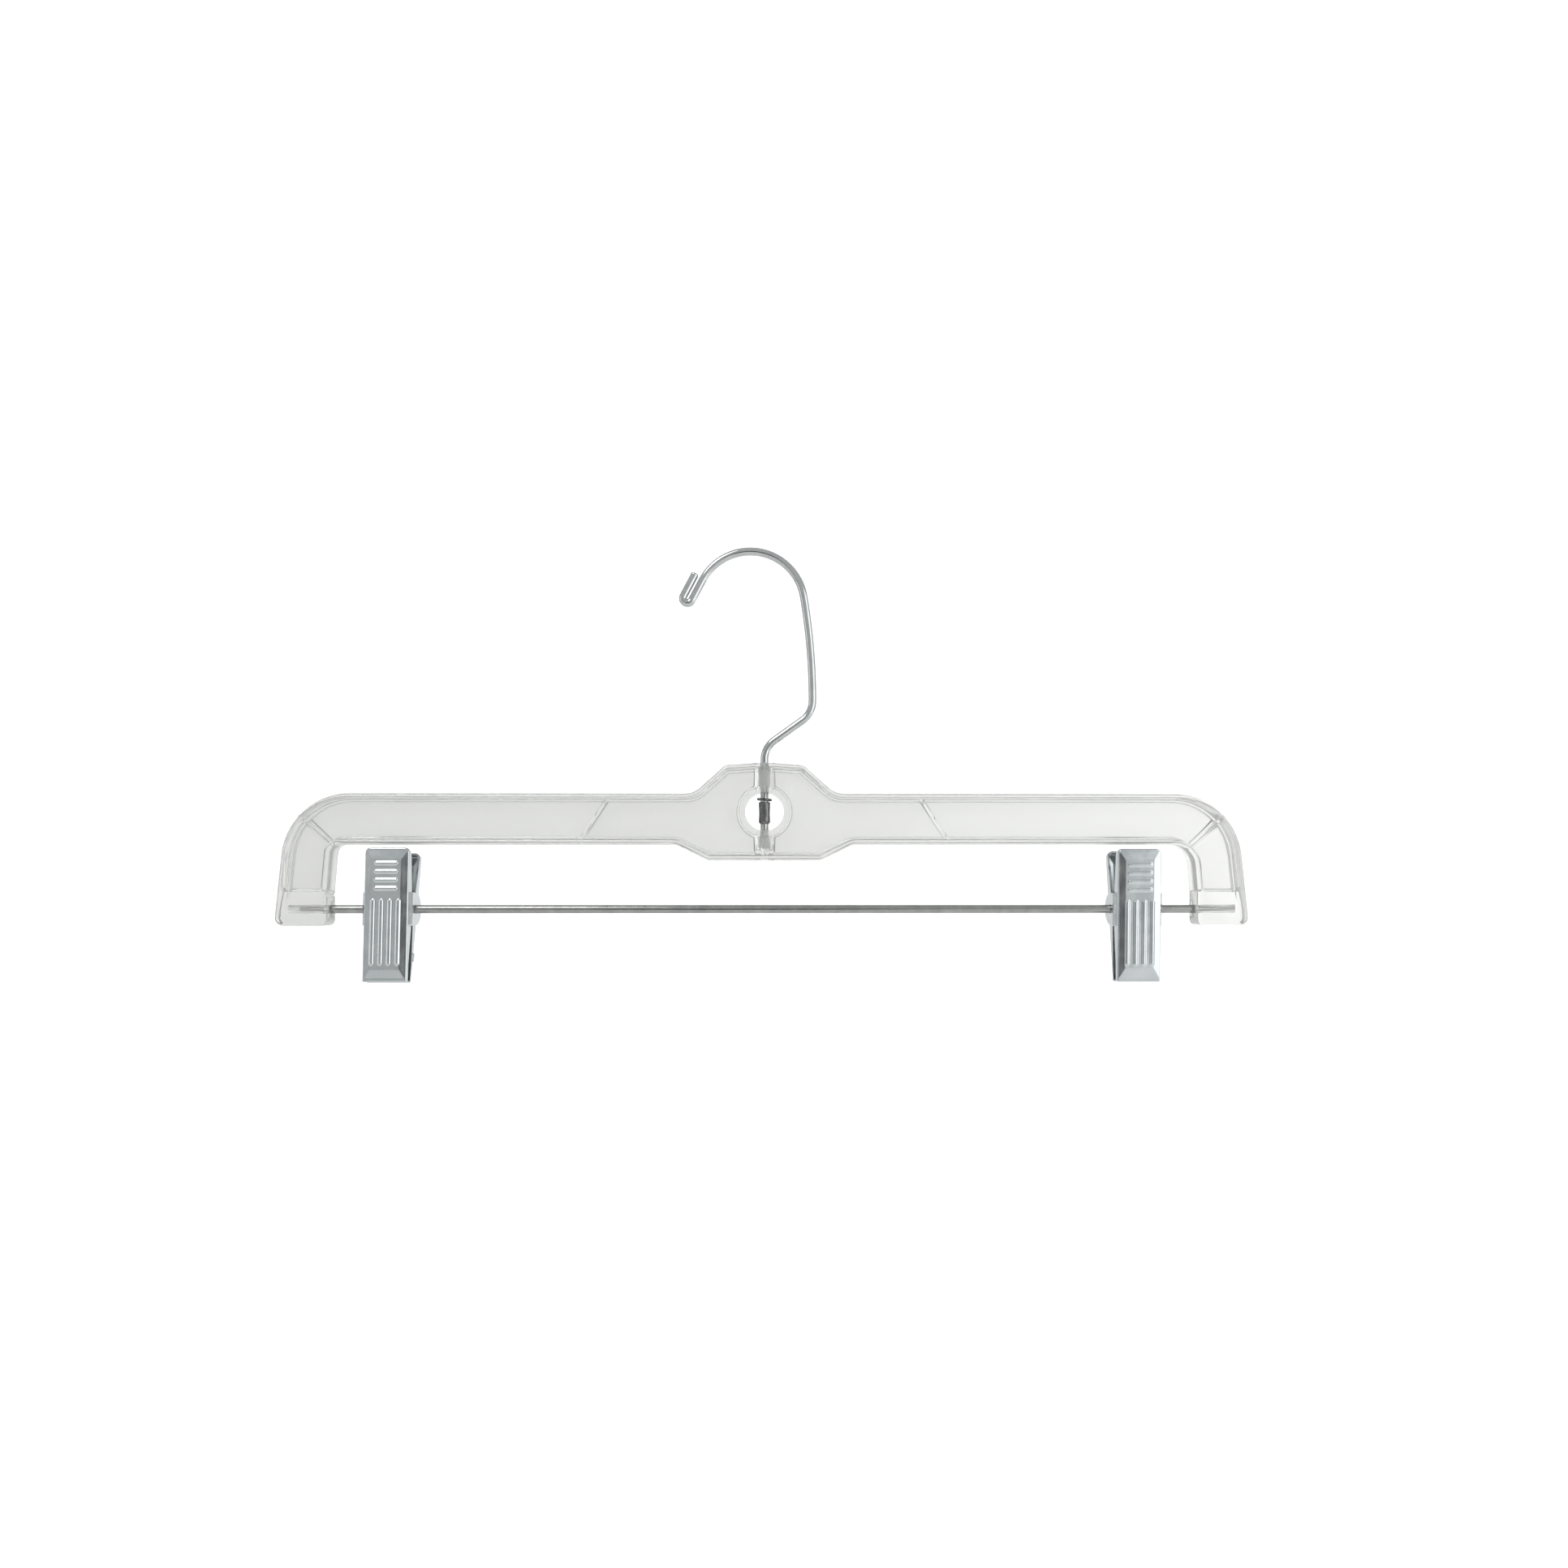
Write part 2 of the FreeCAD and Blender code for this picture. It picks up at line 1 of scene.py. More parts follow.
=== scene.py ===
import math
import bmesh
import bpy
import numpy as np
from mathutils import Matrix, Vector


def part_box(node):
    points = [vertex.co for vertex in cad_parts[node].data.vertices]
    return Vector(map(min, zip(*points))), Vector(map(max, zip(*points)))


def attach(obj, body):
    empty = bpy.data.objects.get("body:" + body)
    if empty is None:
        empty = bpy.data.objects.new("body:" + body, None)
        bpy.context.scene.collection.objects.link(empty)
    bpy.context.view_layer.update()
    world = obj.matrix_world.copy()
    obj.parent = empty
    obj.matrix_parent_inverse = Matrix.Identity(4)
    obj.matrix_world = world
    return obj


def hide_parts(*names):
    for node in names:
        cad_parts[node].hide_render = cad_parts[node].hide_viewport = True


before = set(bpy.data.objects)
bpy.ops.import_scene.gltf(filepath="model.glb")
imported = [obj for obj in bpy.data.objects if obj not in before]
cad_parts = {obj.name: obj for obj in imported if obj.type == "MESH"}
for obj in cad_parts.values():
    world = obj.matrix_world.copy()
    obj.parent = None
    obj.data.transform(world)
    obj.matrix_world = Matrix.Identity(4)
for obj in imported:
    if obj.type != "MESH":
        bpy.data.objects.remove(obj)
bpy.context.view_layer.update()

scene = bpy.context.scene

# Bar: a straight steel rod, drawn bright and cut to length with a small chamfer at each end.
# Its ends are pressed into the blind holes of the body's end blocks.

def quads(rows, columns):
    """Faces of a closed tube's grid: each ring joins the next, and the last column joins the first."""
    i, j = np.meshgrid(np.arange(rows - 1), np.arange(columns), indexing="ij")
    a = i * columns + j
    b = i * columns + (j + 1) % columns
    return np.stack([a, b, b + columns, a + columns], axis=-1).reshape(-1, 4).tolist()


def lay_mesh(name, points, faces, material):
    """A smooth piece from an array of points and a list of faces, with its normals turned outwards."""
    mesh = bpy.data.meshes.new(name)
    mesh.from_pydata(points.reshape(-1, 3).tolist(), [], faces)
    work = bmesh.new()
    work.from_mesh(mesh)
    bmesh.ops.remove_doubles(work, verts=work.verts, dist=1e-7)
    bmesh.ops.recalc_face_normals(work, faces=work.faces)
    work.to_mesh(mesh)
    work.free()
    mesh.polygons.foreach_set("use_smooth", np.full(len(mesh.polygons), True))
    mesh.set_sharp_from_angle(angle=math.radians(40))
    mesh.materials.append(material)
    piece = bpy.data.objects.new(name, mesh)
    scene.collection.objects.link(piece)
    return piece


def round_wire(name, line, across, radius, material, around=28, end_round=0.00025):
    """A wire along a line of points. Each ring is centre + radius * (cos * across + sin * side), where side
    is the tangent crossed with across. The rings near both ends shrink along a quarter circle, and flat caps
    close it. The attribute wire_run holds (cos, sin, distance along the wire), for the drawn streaks."""
    tangent = np.gradient(line, axis=0)
    tangent /= np.linalg.norm(tangent, axis=1, keepdims=True)
    across = across - tangent * np.sum(across * tangent, axis=1, keepdims=True)
    across /= np.linalg.norm(across, axis=1, keepdims=True)
    side = np.cross(tangent, across)
    step = np.linalg.norm(np.diff(line, axis=0), axis=1)
    run = np.concatenate([[0], np.cumsum(step)])
    to_end = np.clip(np.minimum(run, run[-1] - run) / end_round, 0, 1)
    ring_radius = radius - end_round * (1 - np.sqrt(1 - (1 - to_end) ** 2))
    angle = np.linspace(0, 2 * math.pi, around, endpoint=False)
    ring = np.cos(angle)[None, :, None] * across[:, None, :]
    ring = ring + np.sin(angle)[None, :, None] * side[:, None, :]
    points = line[:, None, :] + ring * ring_radius[:, None, None]
    last = (len(line) - 1) * around
    caps = [list(range(around)), list(range(last, last + around))]
    mesh_faces = quads(len(line), around) + caps
    mesh = bpy.data.meshes.new(name)
    mesh.from_pydata(points.reshape(-1, 3).tolist(), [], mesh_faces)
    streak = np.empty((len(line), around, 3))
    streak[..., 0] = np.cos(angle)
    streak[..., 1] = np.sin(angle)
    streak[..., 2] = run[:, None]
    mesh.attributes.new("wire_run", "FLOAT_VECTOR", "POINT").data.foreach_set("vector", streak.ravel())
    work = bmesh.new()
    work.from_mesh(mesh)
    bmesh.ops.recalc_face_normals(work, faces=work.faces)
    work.to_mesh(mesh)
    work.free()
    mesh.polygons.foreach_set("use_smooth", np.full(len(mesh.polygons), True))
    mesh.set_sharp_from_angle(angle=math.radians(50))
    mesh.materials.append(material)
    piece = bpy.data.objects.new(name, mesh)
    scene.collection.objects.link(piece)
    return piece


def finish_group(name, inputs, outputs):
    """An empty shader group with named sockets, and its input and output nodes."""
    group = bpy.data.node_groups.new(name, "ShaderNodeTree")
    for in_out, sockets in (("INPUT", inputs), ("OUTPUT", outputs)):
        for socket, kind in sockets.items():
            group.interface.new_socket(socket, in_out=in_out, socket_type="NodeSocket" + kind)
    return group, group.nodes.new("NodeGroupInput"), group.nodes.new("NodeGroupOutput")


def drawn_wire_finish():
    """Shader group for wire or rod pulled through a die. Streaks are noise stretched along the attribute
    wire_run, and patches are noise on the object's own place. Colour goes from Bright to Dull with the
    patches, and Roughness from Smooth to Rough with the streaks."""
    group, given, result = finish_group(
        "drawn_wire_finish", {"Bright": "Color", "Dull": "Color", "Smooth": "Float", "Rough": "Float"},
        {"Colour": "Color", "Roughness": "Float", "Streaks": "Float"})
    nodes = group.nodes
    links = group.links
    run = nodes.new("ShaderNodeAttribute")
    run.attribute_name = "wire_run"
    stretch = nodes.new("ShaderNodeMapping")
    stretch.inputs["Scale"].default_value = (9, 9, 140)
    links.new(run.outputs["Vector"], stretch.inputs["Vector"])
    streaks = nodes.new("ShaderNodeTexNoise")
    streaks.inputs["Scale"].default_value = 3
    streaks.inputs["Detail"].default_value = 6
    links.new(stretch.outputs["Vector"], streaks.inputs["Vector"])
    place = nodes.new("ShaderNodeTexCoord")
    patches = nodes.new("ShaderNodeTexNoise")
    patches.inputs["Scale"].default_value = 240
    patches.inputs["Detail"].default_value = 3
    links.new(place.outputs["Object"], patches.inputs["Vector"])
    shade = nodes.new("ShaderNodeMix")
    shade.data_type = "RGBA"
    links.new(given.outputs["Bright"], shade.inputs["A"])
    links.new(given.outputs["Dull"], shade.inputs["B"])
    links.new(patches.outputs["Fac"], shade.inputs["Factor"])
    polish = nodes.new("ShaderNodeMapRange")
    polish.inputs["From Min"].default_value = 0.3
    polish.inputs["From Max"].default_value = 0.7
    links.new(given.outputs["Smooth"], polish.inputs["To Min"])
    links.new(given.outputs["Rough"], polish.inputs["To Max"])
    links.new(streaks.outputs["Fac"], polish.inputs["Value"])
    links.new(shade.outputs["Result"], result.inputs["Colour"])
    links.new(polish.outputs["Result"], result.inputs["Roughness"])
    links.new(streaks.outputs["Fac"], result.inputs["Streaks"])
    return group


def drawn_metal(name, bright, dull, smooth, rough, streak_depth):
    """Bare or plated metal with the drawn wire's finish, its streaks streak_depth deep."""
    material = bpy.data.materials.new(name)
    material.use_nodes = True
    nodes = material.node_tree.nodes
    links = material.node_tree.links
    shader = nodes["Principled BSDF"]
    shader.inputs["Metallic"].default_value = 1.0
    finish = nodes.new("ShaderNodeGroup")
    finish.node_tree = drawn_wire
    finish.inputs["Bright"].default_value = bright
    finish.inputs["Dull"].default_value = dull
    finish.inputs["Smooth"].default_value = smooth
    finish.inputs["Rough"].default_value = rough
    links.new(finish.outputs["Colour"], shader.inputs["Base Color"])
    links.new(finish.outputs["Roughness"], shader.inputs["Roughness"])
    bump = nodes.new("ShaderNodeBump")
    bump.inputs["Strength"].default_value = 0.5
    bump.inputs["Distance"].default_value = streak_depth
    links.new(finish.outputs["Streaks"], bump.inputs["Height"])
    links.new(bump.outputs["Normal"], shader.inputs["Normal"])
    return material


drawn_wire = drawn_wire_finish()
bar_low, bar_high = (np.array(corner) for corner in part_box("clip_bar"))
bar_middle = (bar_low + bar_high) / 2
bar_z = bar_middle[2]
bar_radius = (bar_high[2] - bar_low[2]) / 2
bar_polish = 0.00003
end_share = 0.0006
bar_steel = drawn_metal("bar_steel", bright=(0.26, 0.265, 0.26, 1), dull=(0.46, 0.46, 0.45, 1),
                        smooth=0.12, rough=0.28, streak_depth=0.000010)
bar_share = np.concatenate([np.linspace(0, end_share, 8), np.linspace(end_share, 1 - end_share, 160)[1:-1],
                            np.linspace(1 - end_share, 1, 8)])
bar_line = np.tile(bar_middle, (len(bar_share), 1))
bar_line[:, 0] = bar_low[0] + (bar_high[0] - bar_low[0]) * bar_share
bar_up = np.tile([0.0, 0.0, 1.0], (len(bar_line), 1))
bar = round_wire("clip_bar_rod", bar_line, bar_up, bar_radius - bar_polish, bar_steel,
                 around=40, end_round=0.0002)
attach(bar, "hanger")
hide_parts("clip_bar")

# Hook: one length of plated wire. The stem runs down through the hub, the shank leans out and round
# the crown, and the end is folded back on itself so that no sharp tip shows.

def bent_line(start, heading, legs, step):
    """Centreline of a bent wire in the XZ plane. legs is a list of (length, turn in degrees). The heading is
    the running total of the turns, each spread evenly over its leg. The line is the running sum of chords:
    length * sin(half turn) / half turn, along the heading halfway."""
    run = [np.zeros(1)]
    angle = [np.full(1, float(heading))]
    for length, turn in legs:
        count = max(int(length / step), 12)
        share = np.arange(1, count + 1) / count
        run.append(run[-1][-1] + share * length)
        angle.append(angle[-1][-1] + share * turn)
    run = np.concatenate(run)
    angle = np.radians(np.concatenate(angle))
    middle = (angle[1:] + angle[:-1]) / 2
    half_bend = (angle[1:] - angle[:-1]) / 2
    chord = np.diff(run) * np.sinc(half_bend / math.pi)
    x = start[0] + np.concatenate([[0], np.cumsum(chord * np.cos(middle))])
    z = start[2] + np.concatenate([[0], np.cumsum(chord * np.sin(middle))])
    return np.stack([x, np.full_like(x, start[1]), z], axis=1)


def arc_leg(radius, turn):
    """A leg that bends on a circle: its length is radius * turn in radians."""
    return (radius * abs(math.radians(turn)), turn)


wire_radius = 0.0015
stem_length = 0.0375
stem_bend_radius = 0.0085
slant_across = 0.0177
slant_up = 0.0127
shank_bend_radius = 0.0090
shank_radius = 0.230
shank_turn = 9.6
crown_radius = 0.0199
crown_turn = 142.4
tip_length = 0.0086
fold_radius = 0.00175
folded_length = 0.0094
stem_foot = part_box("swivel_hook")[0][2]
stem_lean = math.degrees(math.atan2(slant_up, slant_across)) - 90
bend_reach = math.tan(math.radians(-stem_lean / 2))
slant_length = math.hypot(slant_up, slant_across)
hook_line = bent_line((0, 0, stem_foot), 90, [
    (stem_length - stem_bend_radius * bend_reach, 0),
    arc_leg(stem_bend_radius, stem_lean),
    (slant_length - (stem_bend_radius + shank_bend_radius) * bend_reach, 0),
    arc_leg(shank_bend_radius, -stem_lean),
    arc_leg(shank_radius, shank_turn),
    arc_leg(crown_radius, crown_turn),
    (tip_length, 0),
    arc_leg(fold_radius, -180),
    (folded_length, 0)], step=0.0004)
plated_wire = drawn_metal("plated_wire", bright=(0.61, 0.62, 0.61, 1), dull=(0.47, 0.48, 0.49, 1),
                          smooth=0.05, rough=0.16, streak_depth=0.000008)
hook_side = np.tile([0.0, 1.0, 0.0], (len(hook_line), 1))
hook = round_wire("swivel_hook_wire", hook_line, hook_side, wire_radius, plated_wire, around=32)
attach(hook, "hook")
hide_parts("swivel_hook")

# Ferrule: a short steel sleeve, blackened, squeezed on to the stem inside the hub's window so that the
# hook can turn but can't pull out. Its lower end is closed in round.

def turned_sleeve(radius, height, dents):
    """Radius at each height and angle. The foot is drawn in along a quarter circle, and the top edge along a
    smaller one. dents shallow flats, left by the crimping jaws, fade out at both ends."""
    foot_round = 0.0013
    top_round = foot_round / 4
    foot_depth = 0.8 * foot_round
    dent_depth = 0.00018
    foot_turn = np.linspace(0, math.pi / 2, 10)
    top_turn = np.linspace(0, math.pi / 2, 6)[1:]
    profile_z = np.concatenate([[0], foot_round * (1 - np.cos(foot_turn)),
                                np.linspace(foot_round, height - top_round, 30)[1:],
                                height - top_round * (1 - np.sin(top_turn)), [height]])
    from_foot = np.clip(profile_z / foot_round, 0, 1)
    from_top = np.clip((height - profile_z) / top_round, 0, 1)
    foot = np.sqrt(np.clip(1 - (1 - from_foot) ** 2, 0, 1))
    top = np.sqrt(np.clip(1 - (1 - from_top) ** 2, 0, 1))
    profile_r = radius - foot_depth * (1 - foot) - top_round * (1 - top)
    profile_r[0] = wire_radius
    profile_r[-1] = wire_radius
    angle = np.linspace(0, 2 * math.pi, 48, endpoint=False)
    squeeze = np.clip(np.sin(math.pi * profile_z / height), 0, 1) ** 2
    flats = np.cos(dents * angle / 2) ** 2
    r = profile_r[:, None] - dent_depth * squeeze[:, None] * flats[None, :]
    heights = np.broadcast_to(profile_z[:, None], r.shape)
    return np.stack([r * np.cos(angle), r * np.sin(angle), heights], axis=-1)


def rubbed_black_finish():
    """Shader group for blackened steel that has rubbed through to bare metal in small patches of noise.
    Colour goes from Black to Worn where the noise is high, and Roughness rises from Smooth with the noise."""
    group, given, result = finish_group(
        "rubbed_black_finish", {"Black": "Color", "Worn": "Color", "Smooth": "Float"},
        {"Colour": "Color", "Roughness": "Float", "Rub": "Float"})
    nodes = group.nodes
    links = group.links
    place = nodes.new("ShaderNodeTexCoord")
    rub = nodes.new("ShaderNodeTexNoise")
    rub.inputs["Scale"].default_value = 900
    rub.inputs["Detail"].default_value = 4
    links.new(place.outputs["Object"], rub.inputs["Vector"])
    through = nodes.new("ShaderNodeMapRange")
    through.inputs["From Min"].default_value = 0.55
    through.inputs["From Max"].default_value = 0.75
    links.new(rub.outputs["Fac"], through.inputs["Value"])
    shade = nodes.new("ShaderNodeMix")
    shade.data_type = "RGBA"
    links.new(given.outputs["Black"], shade.inputs["A"])
    links.new(given.outputs["Worn"], shade.inputs["B"])
    links.new(through.outputs["Result"], shade.inputs["Factor"])
    satin = nodes.new("ShaderNodeMath")
    satin.operation = "MULTIPLY_ADD"
    satin.inputs[1].default_value = 0.2
    links.new(rub.outputs["Fac"], satin.inputs[0])
    links.new(given.outputs["Smooth"], satin.inputs[2])
    links.new(shade.outputs["Result"], result.inputs["Colour"])
    links.new(satin.outputs["Value"], result.inputs["Roughness"])
    links.new(rub.outputs["Fac"], result.inputs["Rub"])
    return group


def dark_steel(name, black, worn, smooth):
    """Steel with the rubbed black finish."""
    material = bpy.data.materials.new(name)
    material.use_nodes = True
    nodes = material.node_tree.nodes
    links = material.node_tree.links
    shader = nodes["Principled BSDF"]
    shader.inputs["Metallic"].default_value = 1.0
    finish = nodes.new("ShaderNodeGroup")
    finish.node_tree = rubbed_black
    finish.inputs["Black"].default_value = black
    finish.inputs["Worn"].default_value = worn
    finish.inputs["Smooth"].default_value = smooth
    links.new(finish.outputs["Colour"], shader.inputs["Base Color"])
    links.new(finish.outputs["Roughness"], shader.inputs["Roughness"])
    bump = nodes.new("ShaderNodeBump")
    bump.inputs["Strength"].default_value = 0.4
    bump.inputs["Distance"].default_value = 0.00002
    links.new(finish.outputs["Rub"], bump.inputs["Height"])
    links.new(bump.outputs["Normal"], shader.inputs["Normal"])
    return material


rubbed_black = rubbed_black_finish()
ferrule_low, ferrule_high = (np.array(corner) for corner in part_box("hook_ferrule"))
ferrule_radius = (ferrule_high[0] - ferrule_low[0]) / 2
sleeve = turned_sleeve(ferrule_radius, ferrule_high[2] - ferrule_low[2], dents=4)
sleeve[..., 2] += ferrule_low[2]
black_steel = dark_steel("black_steel", black=(0.20, 0.20, 0.20, 1), worn=(0.42, 0.41, 0.40, 1), smooth=0.22)
ferrule = lay_mesh("crimped_ferrule", sleeve, quads(sleeve.shape[0], sleeve.shape[1]), black_steel)
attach(ferrule, "hook")
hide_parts("hook_ferrule")

# Washer: a small stamped steel ring, loose on the stem. It lies a little askew on top of the ferrule and
# carries the body's weight when the hanger hangs.

def stamped_ring(inner, outer, thickness, corner):
    """A ring's section, a rectangle with quarter-circle corners, carried round the stem."""
    quarter = np.linspace(0, math.pi / 2, 6)
    high = thickness / 2 - corner
    corners = [(outer - corner, high, quarter), (inner + corner, high, quarter + math.pi / 2),
               (inner + corner, -high, quarter + math.pi), (outer - corner, -high, quarter + 1.5 * math.pi)]
    r = np.concatenate([middle + corner * np.cos(turn) for middle, height, turn in corners])
    z = np.concatenate([height + corner * np.sin(turn) for middle, height, turn in corners])
    angle = np.linspace(0, 2 * math.pi, 49)
    return np.stack([np.cos(angle)[:, None] * r, np.sin(angle)[:, None] * r,
                     np.broadcast_to(z, (len(angle), len(z)))], axis=-1)


washer_low, washer_high = (np.array(corner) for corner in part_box("swivel_washer"))
ring = stamped_ring(inner=0.00185, outer=0.0028, thickness=0.0008, corner=0.00015)
washer_tilt = math.radians(4)
ring_x = ring[..., 0] * math.cos(washer_tilt) + ring[..., 2] * math.sin(washer_tilt)
ring_z = ring[..., 2] * math.cos(washer_tilt) - ring[..., 0] * math.sin(washer_tilt)
ring = np.stack([ring_x, ring[..., 1], ring_z + (washer_low[2] + washer_high[2]) / 2], axis=-1)
washer_steel = dark_steel("washer_steel", black=(0.12, 0.12, 0.12, 1), worn=(0.42, 0.41, 0.40, 1),
                          smooth=0.18)
washer = lay_mesh("loose_washer", ring, quads(ring.shape[0], ring.shape[1]), washer_steel)
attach(washer, "washer")
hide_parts("swivel_washer")

# Clip jaws: sheet steel pressed into a shallow pan and zinc plated. The face slopes away at all four edges
# and carries two sets of half-round ribs. The end turns in as the gripping lip, and an ear on each side wall
# goes over the bar.

jaw_half_width = 0.0080
jaw_reach = 0.0060
jaw_end = -0.0265
handle_reach = 0.0231
handle_end = math.sqrt(handle_reach ** 2 - jaw_reach ** 2)
sheet = 0.0008
fold = 0.0006
jaw_lean = math.radians(5.7)
clip_tilt = {"left": math.radians(-9.5), "right": math.radians(-4.0)}
clip_low, clip_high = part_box("right_front_jaw")
clip_x = clip_low[0] / 2 + clip_high[0] / 2


def soft_max(first, second, blend):
    """The larger of two heights with the crease between them rounded, which is
    blend * log(e^(first / blend) + e^(second / blend))."""
    return blend * np.logaddexp(first / blend, second / blend)


def eased(share):
    """Eases from 0 to 1 with a flat start and end: 3 share squared - 2 share cubed."""
    share = np.clip(share, 0, 1)
    return share ** 2 * (3 - 2 * share)


def face_depth(x, z):
    """Depth of the pressed face behind its own flat. Four slopes fall away towards the edges, and the deepest
    one counts. A rib is a capsule of radius rib_radius with its middle line sunk below the flat:
    sqrt(rib_radius squared - distance squared) - rib_sunk stands proud."""
    drop = 0.0008
    side_slope_width = 0.0027
    top_slope_width = 0.0042
    end_slope_width = 0.0048
    crease = 0.00003
    side_slope = (np.abs(x) - (jaw_half_width - side_slope_width)) * drop / side_slope_width
    top_slope = (z - (handle_end - top_slope_width)) * drop / top_slope_width
    end_slope = (jaw_end + end_slope_width - z) * drop / end_slope_width
    depth = soft_max(soft_max(side_slope, top_slope, crease), soft_max(end_slope, 0, crease), crease)

    rib_radius = 0.0010
    rib_sunk = 0.0006
    rib_pitch = 0.00305
    rib_count = 4
    cross_rib_half = 0.0036
    cross_rib_start = 0.00585
    long_rib_top = handle_end - 0.0195
    long_rib_foot = handle_end - 0.0421
    rise = np.full_like(x, -drop)
    for i in range(rib_count):
        from_row = z - (handle_end - cross_rib_start - i * rib_pitch)
        past_end = np.maximum(np.abs(x) - cross_rib_half, 0)
        away = np.hypot(from_row, past_end)
        rise = np.maximum(rise, np.sqrt(np.clip(rib_radius ** 2 - away ** 2, 0, None)) - rib_sunk)
        from_row = x - (i - (rib_count - 1) / 2) * rib_pitch
        past_end = np.maximum(np.maximum(z - long_rib_top, long_rib_foot - z), 0)
        away = np.hypot(from_row, past_end)
        rise = np.maximum(rise, np.sqrt(np.clip(rib_radius ** 2 - away ** 2, 0, None)) - rib_sunk)
    return -soft_max(-depth, rise, crease / 2)


def wall_end(z, ear_radius):
    """How far back a side wall reaches at each height: straight lines from the lip to the handle, and at the
    bar the round back of the ear, sqrt(ear radius squared - height squared)."""
    corner_heights = [jaw_end, -0.0200, -0.0059, 0.0059, handle_end]
    corner_depths = [-0.0039, -0.0037, -0.0014, -0.0014, -0.0030]
    wall = np.interp(z, corner_heights, corner_depths)
    ear = np.sqrt(np.clip(ear_radius ** 2 - z ** 2, 0, None))
    return np.where(np.abs(z) < ear_radius, np.maximum(wall, ear), wall)


def pan_skin(ear_radius, ear_step, lug_rise):
    """Outer skin of a jaw. The face is a grid whose rows narrow at the handle's rounded corners. Round its
    edge each point goes over the fold, a quarter circle, and straight back down the wall. At the ears the
    wall steps sideways by ear_step, and points inside the bar's hole are pushed out to its edge. A lug
    lug_rise high stands on one wall."""
    corner = 0.0014
    ear_zone = 0.0062
    edge_x = jaw_half_width - fold
    edge_top = handle_end - fold
    edge_low = jaw_end + fold
    bend = np.linspace(0, math.pi / 2, 9)[1:]
    z = np.concatenate([np.linspace(edge_low, -ear_zone, 82)[:-1], np.linspace(-ear_zone, ear_zone, 63),
                        np.linspace(ear_zone, edge_top - corner, 62)[1:],
                        edge_top - corner + corner * np.sin(bend)])
    row_half = np.full_like(z, edge_x)
    row_half[-len(bend):] = edge_x - corner + corner * np.cos(bend)
    across = np.linspace(-1, 1, 75)
    x = row_half[:, None] * across[None, :]
    heights = np.broadcast_to(z[:, None], x.shape)
    face = np.stack([x, face_depth(x, heights) - jaw_reach, heights], axis=-1)
    rows, columns = x.shape
    i, j = np.meshgrid(np.arange(rows - 1), np.arange(columns - 1), indexing="ij")
    a = i * columns + j
    faces = np.stack([a, a + 1, a + 1 + columns, a + columns], axis=-1).reshape(-1, 4)

    # Directions away from the face, edge by edge, anticlockwise from the lower left corner
    up = np.concatenate([np.zeros(rows - len(bend)), bend])
    right = np.stack([np.cos(up), np.sin(up)], axis=1)
    fan = np.linspace(0, math.pi / 2, 7)[1:-1]
    low_right = np.stack([np.sin(fan), -np.cos(fan)], axis=1)
    edges = [(face[0], np.tile([0.0, -1.0], (columns, 1))),
             (np.repeat(face[0, -1:], len(fan), axis=0), low_right),
             (face[:, -1], right),
             (face[-1, ::-1][1:-1], np.tile([0.0, 1.0], (columns - 2, 1))),
             (face[::-1, 0], right[::-1] * [-1, 1]),
             (np.repeat(face[0, :1], len(fan), axis=0), low_right[::-1] * [-1, 1])]
    start = np.concatenate([edge[0] for edge in edges])
    away = np.concatenate([edge[1] for edge in edges])
    turn = np.linspace(0, math.pi / 2, 7)[None, 1:]
    out = np.broadcast_to(fold * np.sin(turn), (len(start), turn.size))
    back = start[:, 1:2] + fold * (1 - np.cos(turn))
    lip_y = jaw_end * math.tan(jaw_lean) - 0.00015
    top_wall_y = -0.0030
    side_y = wall_end(start[:, 2], ear_radius)
    end = np.where(away[:, 1] < -0.3, lip_y, np.where(away[:, 1] > 0.5, top_wall_y, side_y))
    share = np.linspace(0, 1, 29)[None, 1:]
    wall_y = back[:, -1:] + (end[:, None] - back[:, -1:]) * share
    out = np.concatenate([out, np.full_like(wall_y, fold)], axis=1)
    back = np.concatenate([back, wall_y], axis=1)
    wall_x = start[:, 0:1] + away[:, 0:1] * out
    wall_z = start[:, 2:3] + away[:, 1:2] * out

    # The ears' sideways step is eased in along the sheet and at the ear's own edge, and the lug at its sides
    step_run = 0.0022
    step_edge = 0.0005
    along = eased((back + jaw_reach - sheet) / step_run)
    near = eased((ear_radius + step_edge - np.abs(wall_z)) / step_edge)
    on_side = np.abs(away[:, 0:1]) > 0.9
    wall_x = wall_x + np.sign(away[:, 0:1]) * on_side * ear_step * along * near
    lug_middle_z = -0.0172
    lug_middle_y = -0.0043
    lug_along = eased((0.0017 - np.abs(wall_z - lug_middle_z)) / 0.00025)
    lug_across = eased((0.0005 - np.abs(back - lug_middle_y)) / 0.00015)
    wall_x = wall_x - lug_rise * (away[:, 0:1] < -0.9) * lug_along * lug_across
    hole = bar_radius + 0.00008
    from_bar = np.hypot(back, wall_z)
    push = np.maximum(1, hole / np.maximum(from_bar, 1e-9))
    border = np.stack([wall_x, back * push, wall_z * push], axis=-1)
    border = np.concatenate([start[:, None, :], border], axis=1)
    inside = np.concatenate([np.zeros((len(start), 1), bool), from_bar < hole], axis=1)

